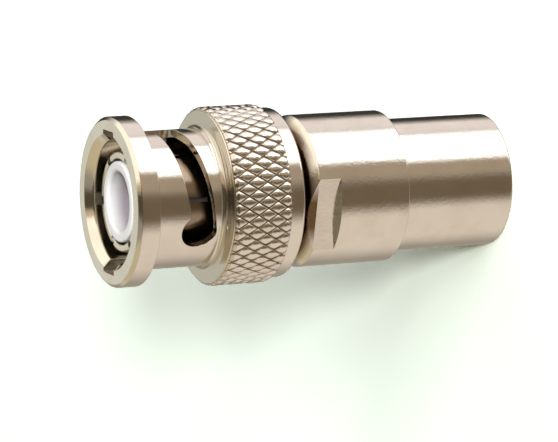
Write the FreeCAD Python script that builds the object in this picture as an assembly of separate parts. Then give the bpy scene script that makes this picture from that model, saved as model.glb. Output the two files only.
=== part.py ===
"""Coaxial adapter: a bayonet coupling plug at one end and a plain 9.5 mm aerial socket at the other.

The part stands on the rim of its socket barrel, with the plug upwards along +Z. The origin is the
centre of that rim. Millimetres and degrees throughout. The two wrench flats face +Y and -Y.

Levels above the rim are written as named values ending in _z. Sizes of the nut are measured along
its length from the plug's front face, as a turner would dimension it, and turned into levels once.
"""
import FreeCAD
import Part

import math
import os
from FreeCAD import Base

Vector = Base.Vector

# Overall
TOTAL_LENGTH = 33.4
AXIS = Vector(0, 0, 1)
CENTRE = Vector(0, 0, 0)

# How far a cutting tool runs past the metal
OVERRUN = 1.0

# Clearances between pieces
RUNNING_CLEARANCE = 0.05
SLIDING_GAP = 0.02
WASHER_CLEARANCE = 0.1
LUG_BARREL_CLEARANCE = 0.1

# Mating interface of the plug: what the bayonet socket brings
JACK_BARREL_RADIUS = 4.8
JACK_LUG_SPAN = 11.1
JACK_LUG_WIDTH = 2.0
LUG_CLEARANCE = 0.1
LUG_REACH_CLEARANCE = 0.2

# Coupling nut, lengths from its front face
NUT_LENGTH = 14.2
NUT_FLANGE_RADIUS = 6.85
NUT_FLANGE_THICKNESS = 1.85
NUT_FLANGE_CHAMFER = 0.3
NUT_BARREL_RADIUS = 5.55
NUT_MOUTH_CHAMFER = 0.6
KNURL_START = 8.0
KNURL_LENGTH = 4.95
KNURL_RADIUS = 7.25
KNURL_DEPTH = 0.3
KNURL_COUNT = 42
KNURL_ROWS = 6
NUT_BAND_STEP = 0.05
SHOULDER_FILLET = 0.55
FILLET_STEPS = 2
NUT_RIM_CHAMFER = 0.25
NUT_CAVITY_RADIUS = 5.95
LUG_ENTRY_ANGLE = 13.0

# Spiral slots
SLOT_START_DEPTH = 4.6
SLOT_END_DEPTH = 6.15
SLOT_TRAVEL = 111.0
DETENT_DEPTH = 5.65
DETENT_RADIUS = 1.4
SLOT_COUNT = 2

# Body
SOCKET_BARREL_RADIUS = 5.43
SOCKET_BARREL_LENGTH = 9.7
SOCKET_BORE_RADIUS = 4.76
SOCKET_BORE_DEPTH = 9.2
SOCKET_RIM_CHAMFER = 0.2
DRUM_RADIUS = 6.2
CONE_LENGTH = 1.6
NECK_RADIUS = 4.6
FLANGE_THICKNESS = 0.8
FLATS_WIDTH = 10.8
FLATS_LENGTH = 3.4
INSULATOR_SEAT_RADIUS = 4.0
INSULATOR_SEAT_DEPTH = 14.5
WEB_THICKNESS = 2.0
WEB_HOLE_RADIUS = 2.6

# Washers and ring behind the flange, from the nut's rim inwards
RING_INSET = 0.8
WAVE_WASHER_THICKNESS = 0.2
WAVE_WASHER_HEIGHT = 0.5
WAVE_COUNT = 3
POINTS_PER_WAVE = 4
THRUST_WASHER_THICKNESS = 0.3
RING_THICKNESS = 0.5
RING_RADIAL_WIDTH = 0.95
RING_GROOVE_DEPTH = 0.47
RING_GAP = 1.6
RING_GAP_ANGLE = 103.0

# Outer contact
CONTACT_RECESS = 0.9
CONTACT_OUTER_RADIUS = 3.95
CONTACT_INNER_RADIUS = 3.45
CONTACT_BEAD = 0.1
CONTACT_BEAD_LENGTH = 1.3
CONTACT_ROUND = 0.25
FINGER_COUNT = 6
FINGER_LENGTH = 6.0
FINGER_SLOT_TIP = 0.65
FINGER_SLOT_ROOT = 0.35
FINGER_ANGLE = 49.0

# Front insulator
INSULATOR_RECESS = 0.8
CUP_RADIUS = 3.25
CUP_BORE_RADIUS = 2.4
CUP_DEPTH = 5.2
COLLAR_LENGTH = 7.0

# Gasket
GASKET_WIDTH = 0.65
GASKET_HEIGHT = 0.8

# Centre conductor
PIN_RADIUS = 0.675
PIN_RECESS = 2.2
PIN_TAPER_LENGTH = 0.9
PIN_TIP_RADIUS = 0.3
PIN_SHANK_RADIUS = 1.0
PIN_HOLD_LENGTH = 3.0
SOCKET_CONTACT_RECESS = 1.2
SOCKET_CONTACT_RADIUS = 2.0
SOCKET_CONTACT_BORE = 1.2
SOCKET_CONTACT_BORE_DEPTH = 8.0
SOCKET_CONTACT_SLOT = 0.4
SOCKET_CONTACT_SLOT_LENGTH = 6.0
SOCKET_CONTACT_CUTS = 2
CONTACT_STEM_RADIUS = 1.6

# Levels above the socket rim
drum_bottom_z = SOCKET_BARREL_LENGTH
nut_rim_z = TOTAL_LENGTH - NUT_LENGTH
cone_top_z = nut_rim_z - RUNNING_CLEARANCE
drum_top_z = cone_top_z - CONE_LENGTH
ring_bottom_z = nut_rim_z + RING_INSET
thrust_bottom_z = ring_bottom_z + RING_THICKNESS
washers_bottom_z = thrust_bottom_z + THRUST_WASHER_THICKNESS
flange_bottom_z = washers_bottom_z + 2 * WAVE_WASHER_HEIGHT
flange_top_z = flange_bottom_z + FLANGE_THICKNESS
web_top_z = INSULATOR_SEAT_DEPTH + WEB_THICKNESS
contact_tip_z = TOTAL_LENGTH - CONTACT_RECESS
cup_tip_z = TOTAL_LENGTH - INSULATOR_RECESS
cup_floor_z = cup_tip_z - CUP_DEPTH
pin_tip_z = TOTAL_LENGTH - PIN_RECESS

# Radii that follow from others
nut_bore_radius = JACK_BARREL_RADIUS + LUG_BARREL_CLEARANCE
lug_reach = JACK_LUG_SPAN / 2 + LUG_REACH_CLEARANCE
slot_width = JACK_LUG_WIDTH + LUG_CLEARANCE
entry_width = slot_width + LUG_CLEARANCE
knurl_root_radius = KNURL_RADIUS - KNURL_DEPTH
band_radius = knurl_root_radius - NUT_BAND_STEP
flange_radius = NUT_CAVITY_RADIUS - RUNNING_CLEARANCE
groove_radius = NUT_CAVITY_RADIUS + RING_GROOVE_DEPTH


def turned(outline):
    """Solid of revolution about Z from (radius, height) corners, closed by itself."""
    points = [Vector(radius, 0, height) for radius, height in outline]
    wire = Part.makePolygon(points + [points[0]])
    return Part.Face(wire).revolve(CENTRE, AXIS, 360)


def tube(outer, inner, bottom, top):
    """Plain tube between two levels."""
    return turned([(inner, bottom), (outer, bottom), (outer, top), (inner, top)])


def block(inner, outer, width, bottom, top, angle):
    """Radial bar from one radius to another, at an angle about Z."""
    bar = Part.makeBox(outer - inner, width, top - bottom, Vector(inner, -width / 2, bottom))
    bar.rotate(CENTRE, AXIS, angle)
    return bar


def drilling(radius, inner, outer, level, angle):
    """Round hole drilled towards the axis, at a level and an angle about Z."""
    direction = Vector(math.cos(math.radians(angle)), math.sin(math.radians(angle)), 0)
    start = direction * inner + Vector(0, 0, level)
    return Part.makeCylinder(radius, outer - inner, start, direction)


def spiral_slot():
    """Cutter for one lug track: entry channel, spiral ramp and the detent hole at its end."""
    inner, outer = nut_bore_radius - OVERRUN, NUT_BARREL_RADIUS + OVERRUN
    detent_angle = LUG_ENTRY_ANGLE - SLOT_TRAVEL
    end_z = TOTAL_LENGTH - SLOT_END_DEPTH
    start_z = TOTAL_LENGTH - SLOT_START_DEPTH
    pitch = (start_z - end_z) * 360 / SLOT_TRAVEL
    helix = Part.makeHelix(pitch, start_z - end_z, nut_bore_radius)
    section = Part.makePolygon([
        Vector(inner, 0, -slot_width / 2), Vector(outer, 0, -slot_width / 2),
        Vector(outer, 0, slot_width / 2), Vector(inner, 0, slot_width / 2),
        Vector(inner, 0, -slot_width / 2)])
    ramp = Part.Wire(helix.Edges).makePipeShell([section], True, True)
    ramp.rotate(CENTRE, AXIS, detent_angle)
    ramp.translate(Vector(0, 0, end_z))
    return [
        ramp,
        block(inner, lug_reach, entry_width, start_z, TOTAL_LENGTH + OVERRUN, LUG_ENTRY_ANGLE),
        drilling(entry_width / 2, inner, outer, start_z, LUG_ENTRY_ANGLE),
        drilling(slot_width / 2, inner, outer, end_z, detent_angle),
        drilling(DETENT_RADIUS, inner, outer, TOTAL_LENGTH - DETENT_DEPTH, detent_angle),
    ]


def nut_outline():
    """Turned outline of the nut, from the lower edge of its knurl round the inside to the upper edge."""
    top = TOTAL_LENGTH
    knurl_top = top - KNURL_START
    flange_bottom = top - NUT_FLANGE_THICKNESS
    groove_bottom = ring_bottom_z - SLIDING_GAP
    corners = [
        (band_radius, knurl_top - KNURL_LENGTH),
        (band_radius, nut_rim_z + NUT_RIM_CHAMFER),
        (band_radius - NUT_RIM_CHAMFER, nut_rim_z),
        (NUT_CAVITY_RADIUS, nut_rim_z),
        (NUT_CAVITY_RADIUS, groove_bottom),
        (groove_radius, groove_bottom),
        (groove_radius, thrust_bottom_z),
        (NUT_CAVITY_RADIUS, thrust_bottom_z),
        (NUT_CAVITY_RADIUS, flange_top_z),
        (nut_bore_radius, flange_top_z),
        (nut_bore_radius, top - NUT_MOUTH_CHAMFER),
        (nut_bore_radius + NUT_MOUTH_CHAMFER, top),
        (NUT_FLANGE_RADIUS - NUT_FLANGE_CHAMFER, top),
        (NUT_FLANGE_RADIUS, top - NUT_FLANGE_CHAMFER),
        (NUT_FLANGE_RADIUS, flange_bottom),
        (NUT_BARREL_RADIUS, flange_bottom),
    ]
    for step in range(FILLET_STEPS + 1):
        turn = math.pi / 2 * step / FILLET_STEPS
        corners.append((NUT_BARREL_RADIUS + SHOULDER_FILLET * (1 - math.cos(turn)),
                        knurl_top + SHOULDER_FILLET * (1 - math.sin(turn))))
    return Part.makePolygon([Vector(radius, 0, height) for radius, height in corners])


def facet(corners):
    """Flat face through the given corners."""
    return Part.Face(Part.makePolygon(corners + corners[:1]))


def knurl_facets(bottom):
    """Faces of the diamond knurl, rows of low four-sided points, and the two rims that bound them."""
    columns = 2 * KNURL_COUNT
    pitch = KNURL_LENGTH / KNURL_ROWS

    def point(column, row):
        """Grid point: a tip where column and row add up to an odd number, and root on both rims."""
        inside = 0 <= row < KNURL_ROWS
        radius = KNURL_RADIUS if inside and (column + row) % 2 else knurl_root_radius
        height = min(max((row + 0.5) * pitch, 0), KNURL_LENGTH)
        angle = 2 * math.pi * (column % columns) / columns
        return Vector(radius * math.cos(angle), radius * math.sin(angle), bottom + height)

    faces = []
    for row in range(KNURL_ROWS):
        for column in range(columns):
            if (column + row) % 2 == 0:
                continue
            tip = point(column, row)
            ring = [point(column + 1, row)]
            for end in (row + 1, row - 1):
                on_rim = end in (-1, KNURL_ROWS)
                side = 1 if end > row else -1
                ring += [point(column + shift, end) for shift in ((side, 0, -side) if on_rim else (0,))]
                ring.append(point(column - side, row))
            faces += [facet([tip, start, stop]) for start, stop in zip(ring, ring[1:])]
    rims = [Part.makePolygon([point(column, row) for column in range(columns + 1)])
            for row in (-1, KNURL_ROWS)]
    return faces, rims


def coupling_nut():
    """Nut with two spiral lug tracks and a diamond-knurled grip."""
    knurl_top = TOTAL_LENGTH - KNURL_START
    knurl_bottom = knurl_top - KNURL_LENGTH
    turned_faces = nut_outline().revolve(CENTRE, AXIS, 360).Faces
    diamonds, (lower_rim, upper_rim) = knurl_facets(knurl_bottom)
    lower_circle = Part.Wire(Part.Circle(Vector(0, 0, knurl_bottom), AXIS, band_radius).toShape())
    upper_circle = Part.Wire(
        Part.Circle(Vector(0, 0, knurl_top), AXIS, NUT_BARREL_RADIUS + SHOULDER_FILLET).toShape())
    ledges = [Part.Face(rim).cut(Part.Face(circle))
              for rim, circle in ((lower_rim, lower_circle), (upper_rim, upper_circle))]
    shell = Part.makeShell(turned_faces + diamonds + [face for ledge in ledges for face in ledge.Faces])
    shell.sewShape()
    nut = Part.makeSolid(shell)
    if nut.Volume < 0:
        nut.reverse()
    cutters = []
    for index in range(SLOT_COUNT):
        for cutter in spiral_slot():
            cutter.rotate(CENTRE, AXIS, index * 360 / SLOT_COUNT)
            cutters.append(cutter)
    return nut.cut(cutters)


def body():
    """Turned body: captured flange, neck, cone, drum with two flats, and the socket barrel."""
    blank = turned([
        (SOCKET_BORE_RADIUS, 0),
        (SOCKET_BARREL_RADIUS - SOCKET_RIM_CHAMFER, 0),
        (SOCKET_BARREL_RADIUS, SOCKET_RIM_CHAMFER),
        (SOCKET_BARREL_RADIUS, drum_bottom_z),
        (DRUM_RADIUS, drum_bottom_z),
        (DRUM_RADIUS, drum_top_z),
        (NECK_RADIUS, cone_top_z),
        (NECK_RADIUS, flange_bottom_z),
        (flange_radius, flange_bottom_z),
        (flange_radius, flange_top_z),
        (CONTACT_OUTER_RADIUS, flange_top_z),
        (CONTACT_OUTER_RADIUS, web_top_z),
        (WEB_HOLE_RADIUS, web_top_z),
        (WEB_HOLE_RADIUS, INSULATOR_SEAT_DEPTH),
        (INSULATOR_SEAT_RADIUS, INSULATOR_SEAT_DEPTH),
        (INSULATOR_SEAT_RADIUS, SOCKET_BORE_DEPTH),
        (SOCKET_BORE_RADIUS, SOCKET_BORE_DEPTH),
    ])
    reach = DRUM_RADIUS + OVERRUN
    flats_bottom = cone_top_z - FLATS_LENGTH
    cuts = [Part.makeBox(2 * reach, reach, cone_top_z - flats_bottom,
                         Vector(-reach, FLATS_WIDTH / 2, flats_bottom))]
    cuts.append(cuts[0].mirror(CENTRE, Vector(0, 1, 0)))
    return blank.cut(cuts)


def finger_slot(inner, outer, angle):
    """Cutter for the slot between two fingers, wider at the tip, where the sprung fingers stand apart."""
    root_z = contact_tip_z - FINGER_LENGTH
    end_z = contact_tip_z + OVERRUN
    taper = (FINGER_SLOT_TIP - FINGER_SLOT_ROOT) / FINGER_LENGTH
    half_root = FINGER_SLOT_ROOT / 2
    half_end = (FINGER_SLOT_TIP + taper * OVERRUN) / 2
    wedge = facet([
        Vector(inner, -half_root, root_z), Vector(inner, half_root, root_z),
        Vector(inner, half_end, end_z), Vector(inner, -half_end, end_z)]).extrude(Vector(outer - inner, 0, 0))
    wedge.rotate(CENTRE, AXIS, angle)
    return wedge


def outer_contact():
    """Spring tube with fingers, beaded at its tip, pressed into the body."""
    bead_radius = CONTACT_OUTER_RADIUS + CONTACT_BEAD
    blank = turned([
        (CONTACT_INNER_RADIUS, web_top_z),
        (CONTACT_OUTER_RADIUS, web_top_z),
        (CONTACT_OUTER_RADIUS, contact_tip_z - CONTACT_BEAD_LENGTH - CONTACT_BEAD),
        (bead_radius, contact_tip_z - CONTACT_BEAD_LENGTH),
        (bead_radius, contact_tip_z - CONTACT_ROUND),
        (bead_radius - CONTACT_ROUND, contact_tip_z),
        (CONTACT_INNER_RADIUS, contact_tip_z),
    ])
    slots = []
    for index in range(FINGER_COUNT):
        angle = FINGER_ANGLE + index * 360 / FINGER_COUNT
        slots.append(finger_slot(CONTACT_INNER_RADIUS - OVERRUN, bead_radius + OVERRUN, angle))
    return blank.cut(slots)


def front_insulator():
    """White cup that centres the pin, with a collar that fits the foot of the outer contact."""
    collar_top = web_top_z + COLLAR_LENGTH
    return turned([
        (PIN_SHANK_RADIUS, web_top_z),
        (CONTACT_INNER_RADIUS, web_top_z),
        (CONTACT_INNER_RADIUS, collar_top),
        (CUP_RADIUS, collar_top),
        (CUP_RADIUS, cup_tip_z),
        (CUP_BORE_RADIUS, cup_tip_z),
        (CUP_BORE_RADIUS, cup_floor_z),
        (PIN_SHANK_RADIUS, cup_floor_z),
    ])


def centre_pin():
    """Pin of the plug, tapered at its tip, on a shank that is held in the socket contact's stem."""
    foot = web_top_z - PIN_HOLD_LENGTH
    return turned([
        (0, foot), (PIN_SHANK_RADIUS, foot), (PIN_SHANK_RADIUS, cup_floor_z), (PIN_RADIUS, cup_floor_z),
        (PIN_RADIUS, pin_tip_z - PIN_TAPER_LENGTH), (PIN_TIP_RADIUS, pin_tip_z), (0, pin_tip_z)])


def socket_contact():
    """Slotted centre tube of the socket, with a stem that takes the pin."""
    bottom = SOCKET_CONTACT_RECESS
    shoulder = INSULATOR_SEAT_DEPTH
    stem_top = web_top_z
    hold_bottom = web_top_z - PIN_HOLD_LENGTH
    blank = turned([
        (SOCKET_CONTACT_BORE, bottom),
        (SOCKET_CONTACT_RADIUS, bottom),
        (SOCKET_CONTACT_RADIUS, shoulder),
        (CONTACT_STEM_RADIUS, shoulder),
        (CONTACT_STEM_RADIUS, stem_top),
        (PIN_SHANK_RADIUS, stem_top),
        (PIN_SHANK_RADIUS, hold_bottom),
        (0, hold_bottom),
        (0, bottom + SOCKET_CONTACT_BORE_DEPTH),
        (SOCKET_CONTACT_BORE, bottom + SOCKET_CONTACT_BORE_DEPTH),
    ])
    reach = SOCKET_CONTACT_RADIUS + OVERRUN
    slots = []
    for index in range(SOCKET_CONTACT_CUTS):
        angle = index * 180 / SOCKET_CONTACT_CUTS
        slots.append(block(-reach, reach, SOCKET_CONTACT_SLOT, bottom - OVERRUN,
                           bottom + SOCKET_CONTACT_SLOT_LENGTH, angle))
    return blank.cut(slots)


def rear_insulator():
    """Disc pressed into the body behind the socket bore, round the contact."""
    return tube(INSULATOR_SEAT_RADIUS, SOCKET_CONTACT_RADIUS, SOCKET_BORE_DEPTH, INSULATOR_SEAT_DEPTH)


def gasket():
    """Soft ring round the foot of the outer contact, on the body's flange."""
    inner = CONTACT_OUTER_RADIUS + SLIDING_GAP
    return tube(inner + GASKET_WIDTH, inner, flange_top_z, flange_top_z + GASKET_HEIGHT)


def wave_washer(bottom_z, turn):
    """Spring washer whose height runs in waves round the circle, from its bottom level."""
    inner, outer = NECK_RADIUS + WASHER_CLEARANCE, flange_radius - WASHER_CLEARANCE
    swing = (WAVE_WASHER_HEIGHT - WAVE_WASHER_THICKNESS) / 2 - SLIDING_GAP
    middle = bottom_z + WAVE_WASHER_HEIGHT / 2
    steps = WAVE_COUNT * POINTS_PER_WAVE

    def rim(radius, offset):
        """Closed wavy edge at one radius, above or below the washer's middle."""
        points = []
        for step in range(steps):
            angle = 2 * math.pi * step / steps
            wave = swing * math.cos(WAVE_COUNT * angle + math.radians(turn))
            points.append(Vector(radius * math.cos(angle), radius * math.sin(angle), middle + offset + wave))
        curve = Part.BSplineCurve()
        curve.interpolate(points, PeriodicFlag=True)
        return curve.toShape()

    half = WAVE_WASHER_THICKNESS / 2
    low_in, low_out = rim(inner, -half), rim(outer, -half)
    high_in, high_out = rim(inner, half), rim(outer, half)
    faces = [Part.makeRuledSurface(low_in, low_out), Part.makeRuledSurface(low_out, high_out),
             Part.makeRuledSurface(high_out, high_in), Part.makeRuledSurface(high_in, low_in)]
    shell = Part.makeShell([face for ruled in faces for face in ruled.Faces])
    shell.sewShape()
    solid = Part.makeSolid(shell)
    if solid.Volume < 0:
        solid.reverse()
    return solid


def thrust_washer():
    """Flat washer between the spring washers and the retaining ring."""
    return tube(NUT_CAVITY_RADIUS - WASHER_CLEARANCE, NECK_RADIUS + RUNNING_CLEARANCE,
                thrust_bottom_z, washers_bottom_z)


def retaining_ring():
    """Split ring that springs into the nut's groove."""
    outer = groove_radius - SLIDING_GAP
    ring = tube(outer, outer - RING_RADIAL_WIDTH, ring_bottom_z, thrust_bottom_z)
    return ring.cut(block(0, outer + OVERRUN, RING_GAP, ring_bottom_z - OVERRUN,
                          thrust_bottom_z + OVERRUN, RING_GAP_ANGLE))


NODES = {
    "coupling_nut": coupling_nut,
    "retaining_ring": retaining_ring,
    "thrust_washer": thrust_washer,
    "wave_washer_front": lambda: wave_washer(washers_bottom_z + WAVE_WASHER_HEIGHT, 0),
    "wave_washer_rear": lambda: wave_washer(washers_bottom_z, 180),
    "gasket": gasket,
    "outer_contact": outer_contact,
    "front_insulator": front_insulator,
    "centre_pin": centre_pin,
    "body": body,
    "rear_insulator": rear_insulator,
    "socket_contact": socket_contact,
}

os.makedirs("parts", exist_ok=True)
for name, make in NODES.items():
    shape = make()
    solids = shape.Solids
    if len(solids) != 1 or not shape.isValid():
        raise RuntimeError(f"{name} has {len(solids)} solids, valid {shape.isValid()}")
    solids[0].exportStep(f"parts/{name}.step")
    print(f"{name:20s} {solids[0].Volume:9.3f} mm3  {len(solids[0].Faces)} faces")
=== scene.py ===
"""Looks of a coaxial adapter: a bayonet coupling plug over a plain aerial socket barrel.

The part stands on the rim of its socket barrel with the plug upwards. Sizes in the classes are in
millimetres, as on a turner's drawing, and become metres in the meshes. Angles about the axis are
counted from +X towards +Y, in degrees.
"""
import sys
import logging
import math
from dataclasses import dataclass, field
from enum import Enum
from typing import Callable, Iterable, Sequence

import bmesh
import bpy
from mathutils import Matrix, Vector


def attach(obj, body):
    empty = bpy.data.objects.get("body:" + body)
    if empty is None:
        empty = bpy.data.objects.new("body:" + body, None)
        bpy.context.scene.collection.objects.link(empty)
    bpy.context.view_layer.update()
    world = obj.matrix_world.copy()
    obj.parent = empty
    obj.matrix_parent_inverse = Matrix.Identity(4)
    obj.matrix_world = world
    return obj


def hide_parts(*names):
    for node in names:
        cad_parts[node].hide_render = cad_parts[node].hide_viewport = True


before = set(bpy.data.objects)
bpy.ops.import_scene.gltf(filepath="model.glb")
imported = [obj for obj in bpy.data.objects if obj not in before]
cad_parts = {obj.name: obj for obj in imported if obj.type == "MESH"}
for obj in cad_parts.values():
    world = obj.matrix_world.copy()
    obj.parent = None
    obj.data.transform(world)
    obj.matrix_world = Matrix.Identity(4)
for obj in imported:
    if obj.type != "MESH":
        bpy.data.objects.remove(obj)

LOG = logging.getLogger("adapter")
MM = 0.001
SMOOTH_ANGLE = math.radians(24)
CROWN_ANGLE = math.radians(80)


class BodyName(Enum):
    """Bodies of the frame that the pieces ride on."""

    ADAPTER = "adapter"
    WASHER = "washer"
    NUT = "nut"


class Slot(Enum):
    """Material slots of the record."""

    NICKEL = "nickel_plate"
    SPRING = "spring_steel"
    CONTACT = "contact_plate"
    INSULATOR = "insulator"
    GASKET = "gasket"


class End(Enum):
    """How a turned outline ends."""

    JOINED = "joined"
    CAPPED = "capped"


@dataclass(frozen=True)
class Corner:
    """Corner of a turned outline.

    Args:
        radius: Distance from the axis.
        height: Level above the socket rim.
        rounding: Radius of the rounding at the corner.
    """

    radius: float
    height: float
    rounding: float = 0.0

    def place(self) -> Vector:
        """Corner as a flat vector of radius and height."""
        return Vector((self.radius, self.height))


class Lathe:
    """Turns outlines into meshes, ring by ring from a circle."""

    arc_steps = 4
    hold = 0.03

    def __init__(self, segments: int) -> None:
        """Sets how many sides every ring has.

        Args:
            segments: Sides of a ring.
        """
        self.segments = segments

    def rounded(self, corners: Sequence[Corner], end: End) -> list[Vector]:
        """Outline with its roundings drawn as arcs, each between two holding points.

        Args:
            corners: Corners in order round the section.
            end: Whether the last corner runs on to the first.

        Returns:
            Points of radius and height.
        """
        points: list[Vector] = []
        last = len(corners) - 1
        for index, corner in enumerate(corners):
            here = corner.place()
            open_end = end is End.CAPPED and index in (0, last)
            if not corner.rounding or open_end:
                points.append(here)
                continue
            before = corners[index - 1].place() - here
            after = corners[(index + 1) % len(corners)].place() - here
            to_before, to_after = before.normalized(), after.normalized()
            half = to_before.angle(to_after) / 2
            reach = corner.rounding / math.tan(half)
            centre = here + (to_before + to_after).normalized() * corner.rounding / math.sin(half)
            spoke = here + to_before * reach - centre
            last_spoke = here + to_after * reach - centre
            sweep = math.atan2(*reversed(last_spoke)) - math.atan2(*reversed(spoke))
            sweep = (sweep + math.pi) % (2 * math.pi) - math.pi
            if reach + self.hold < before.length / 2:
                points.append(here + to_before * (reach + self.hold))
            for step in range(self.arc_steps + 1):
                turn = Matrix.Rotation(sweep * step / self.arc_steps, 2)
                points.append(centre + turn @ spoke)
            if reach + self.hold < after.length / 2:
                points.append(here + to_after * (reach + self.hold))
        return points

    def turn(self, name: str, corners: Sequence[Corner], end: End = End.JOINED) -> bpy.types.Object:
        """Turns an outline into a closed mesh.

        Args:
            name: Name of the new piece.
            corners: Corners in order round the section.
            end: Whether the section closes on itself or is capped at both ends.

        Returns:
            The new object, at the origin.
        """
        outline = self.rounded(corners, end)
        Bench.clear()
        fill = "NGON" if end is End.CAPPED else "NOTHING"
        bpy.ops.mesh.primitive_circle_add(vertices=self.segments, radius=outline[0].x * MM,
                                          fill_type=fill, location=(0, 0, outline[0].y * MM))
        piece = bpy.context.active_object
        piece.name = piece.data.name = name
        bpy.ops.object.mode_set(mode="EDIT")
        bpy.ops.mesh.select_all(action="SELECT")
        for before, after in zip(outline, outline[1:]):
            bpy.ops.mesh.extrude_edges_move(
                TRANSFORM_OT_translate={"value": (0, 0, (after.y - before.y) * MM)})
            grow = after.x / before.x
            bpy.ops.transform.resize(value=(grow, grow, 1), center_override=(0, 0, 0))
        if end is End.CAPPED:
            bpy.ops.mesh.edge_face_add()
        else:
            bpy.ops.mesh.select_all(action="DESELECT")
            bpy.ops.mesh.select_non_manifold()
            bpy.ops.mesh.bridge_edge_loops()
        bpy.ops.mesh.select_all(action="SELECT")
        bpy.ops.mesh.normals_make_consistent(inside=False)
        bpy.ops.object.mode_set(mode="OBJECT")
        Bench.settle(piece)
        return piece


class Bench:
    """Modelling steps that every piece shares."""

    @staticmethod
    def clear() -> None:
        """Leaves edit mode and deselects every object."""
        if bpy.context.object is not None and bpy.context.object.mode != "OBJECT":
            bpy.ops.object.mode_set(mode="OBJECT")
        bpy.ops.object.select_all(action="DESELECT")

    @staticmethod
    def only(piece: bpy.types.Object) -> None:
        """Makes one object the selected and active one.

        Args:
            piece: The object.
        """
        Bench.clear()
        piece.select_set(True)
        bpy.context.view_layer.objects.active = piece

    @staticmethod
    def settle(piece: bpy.types.Object) -> None:
        """Moves a piece's place, turn and scale into its mesh.

        Args:
            piece: The object.
        """
        Bench.only(piece)
        bpy.ops.object.transform_apply(location=True, rotation=True, scale=True)

    @staticmethod
    def block(low: Vector, high: Vector, angle: float = 0.0) -> bpy.types.Object:
        """Rectangular cutter, turned about the axis.

        Args:
            low: Lowest corner before the turn.
            high: Highest corner before the turn.
            angle: Turn about the axis in degrees.

        Returns:
            The cutter.
        """
        Bench.clear()
        bpy.ops.mesh.primitive_cube_add(size=1, location=(low + high) / 2 * MM)
        cutter = bpy.context.active_object
        cutter.scale = (high - low) * MM
        Bench.settle(cutter)
        cutter.rotation_euler.z = math.radians(angle)
        Bench.settle(cutter)
        return cutter

    @staticmethod
    def drill(radius: float, inner: float, outer: float, level: float, angle: float) -> bpy.types.Object:
        """Round cutter that points at the axis.

        Args:
            radius: Radius of the hole.
            inner: Where it starts, from the axis.
            outer: Where it ends, from the axis.
            level: Height of its centre.
            angle: Its direction about the axis in degrees.

        Returns:
            The cutter.
        """
        Bench.clear()
        bpy.ops.mesh.primitive_cylinder_add(vertices=64, radius=radius * MM, depth=(outer - inner) * MM,
                                            rotation=(0, math.pi / 2, 0),
                                            location=((inner + outer) / 2 * MM, 0, level * MM))
        cutter = bpy.context.active_object
        Bench.settle(cutter)
        cutter.rotation_euler.z = math.radians(angle)
        Bench.settle(cutter)
        return cutter

    @staticmethod
    def combine(piece: bpy.types.Object, tools: Iterable[bpy.types.Object], operation: str) -> None:
        """Cuts tools from a piece or adds them to it, and removes the tools.

        Args:
            piece: The object that is changed.
            tools: Cutters or additions.
            operation: DIFFERENCE or UNION.
        """
        for tool in tools:
            Bench.only(piece)
            step = piece.modifiers.new("combine", "BOOLEAN")
            step.operation = operation
            step.solver = "EXACT"
            step.object = tool
            bpy.ops.object.modifier_apply(modifier=step.name)
            bpy.data.objects.remove(tool)

    @staticmethod
    def ease_edges(piece: bpy.types.Object, width: float, keep: Callable[[Vector], bool]) -> None:
        """Bevels the sharp edges of one region, as a deburring tool would.

        Args:
            piece: The object that is changed.
            width: Width of the bevel.
            keep: Tells whether an edge whose middle is at a point is eased.
        """
        Bench.only(piece)
        bpy.ops.object.mode_set(mode="EDIT")
        bpy.ops.mesh.select_all(action="SELECT")
        bpy.ops.mesh.remove_doubles(threshold=0.004 * MM)
        bpy.ops.mesh.select_all(action="DESELECT")
        bpy.ops.mesh.select_mode(type="EDGE")
        mesh = bmesh.from_edit_mesh(piece.data)
        for edge in mesh.edges:
            middle = (edge.verts[0].co + edge.verts[1].co) / 2 / MM
            sharp = edge.is_manifold and edge.calc_face_angle(0.0) > math.radians(40)
            edge.select = sharp and keep(middle)
        bmesh.update_edit_mesh(piece.data)
        bpy.ops.mesh.bevel(offset=width * MM, segments=2, affect="EDGES")
        bpy.ops.object.mode_set(mode="OBJECT")

    @staticmethod
    def smooth(piece: bpy.types.Object, angle: float) -> None:
        """Smooths a mesh so that its large faces stay flat up to their eased edges.

        The weighting by area works on sizes near one, so the mesh is in millimetres meanwhile.

        Args:
            piece: The object.
            angle: Edges sharper than this stay sharp.
        """
        Bench.only(piece)
        bpy.ops.object.shade_smooth_by_angle(angle=angle)
        piece.scale = (1 / MM, 1 / MM, 1 / MM)
        Bench.settle(piece)
        step = piece.modifiers.new("even_normals", "WEIGHTED_NORMAL")
        step.keep_sharp = True
        bpy.ops.object.modifier_apply(modifier=step.name)
        piece.scale = (MM, MM, MM)
        Bench.settle(piece)

    @staticmethod
    def finish(piece: bpy.types.Object, material: bpy.types.Material, body: BodyName, slot: Slot,
               *nodes: str) -> None:
        """Dresses and seats a finished piece.

        Args:
            piece: The finished and smoothed mesh.
            material: Its finish.
            body: Body that it rides on.
            slot: Record slot of the finish; not used.
            nodes: Frame nodes that it stands for.
        """
        piece.data.materials.clear()
        piece.data.materials.append(material)
        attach(piece, body.value)
        if nodes:
            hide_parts(*nodes)
        LOG.info("%s: %d faces on %s", piece.name, len(piece.data.polygons), body.value)


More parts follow.
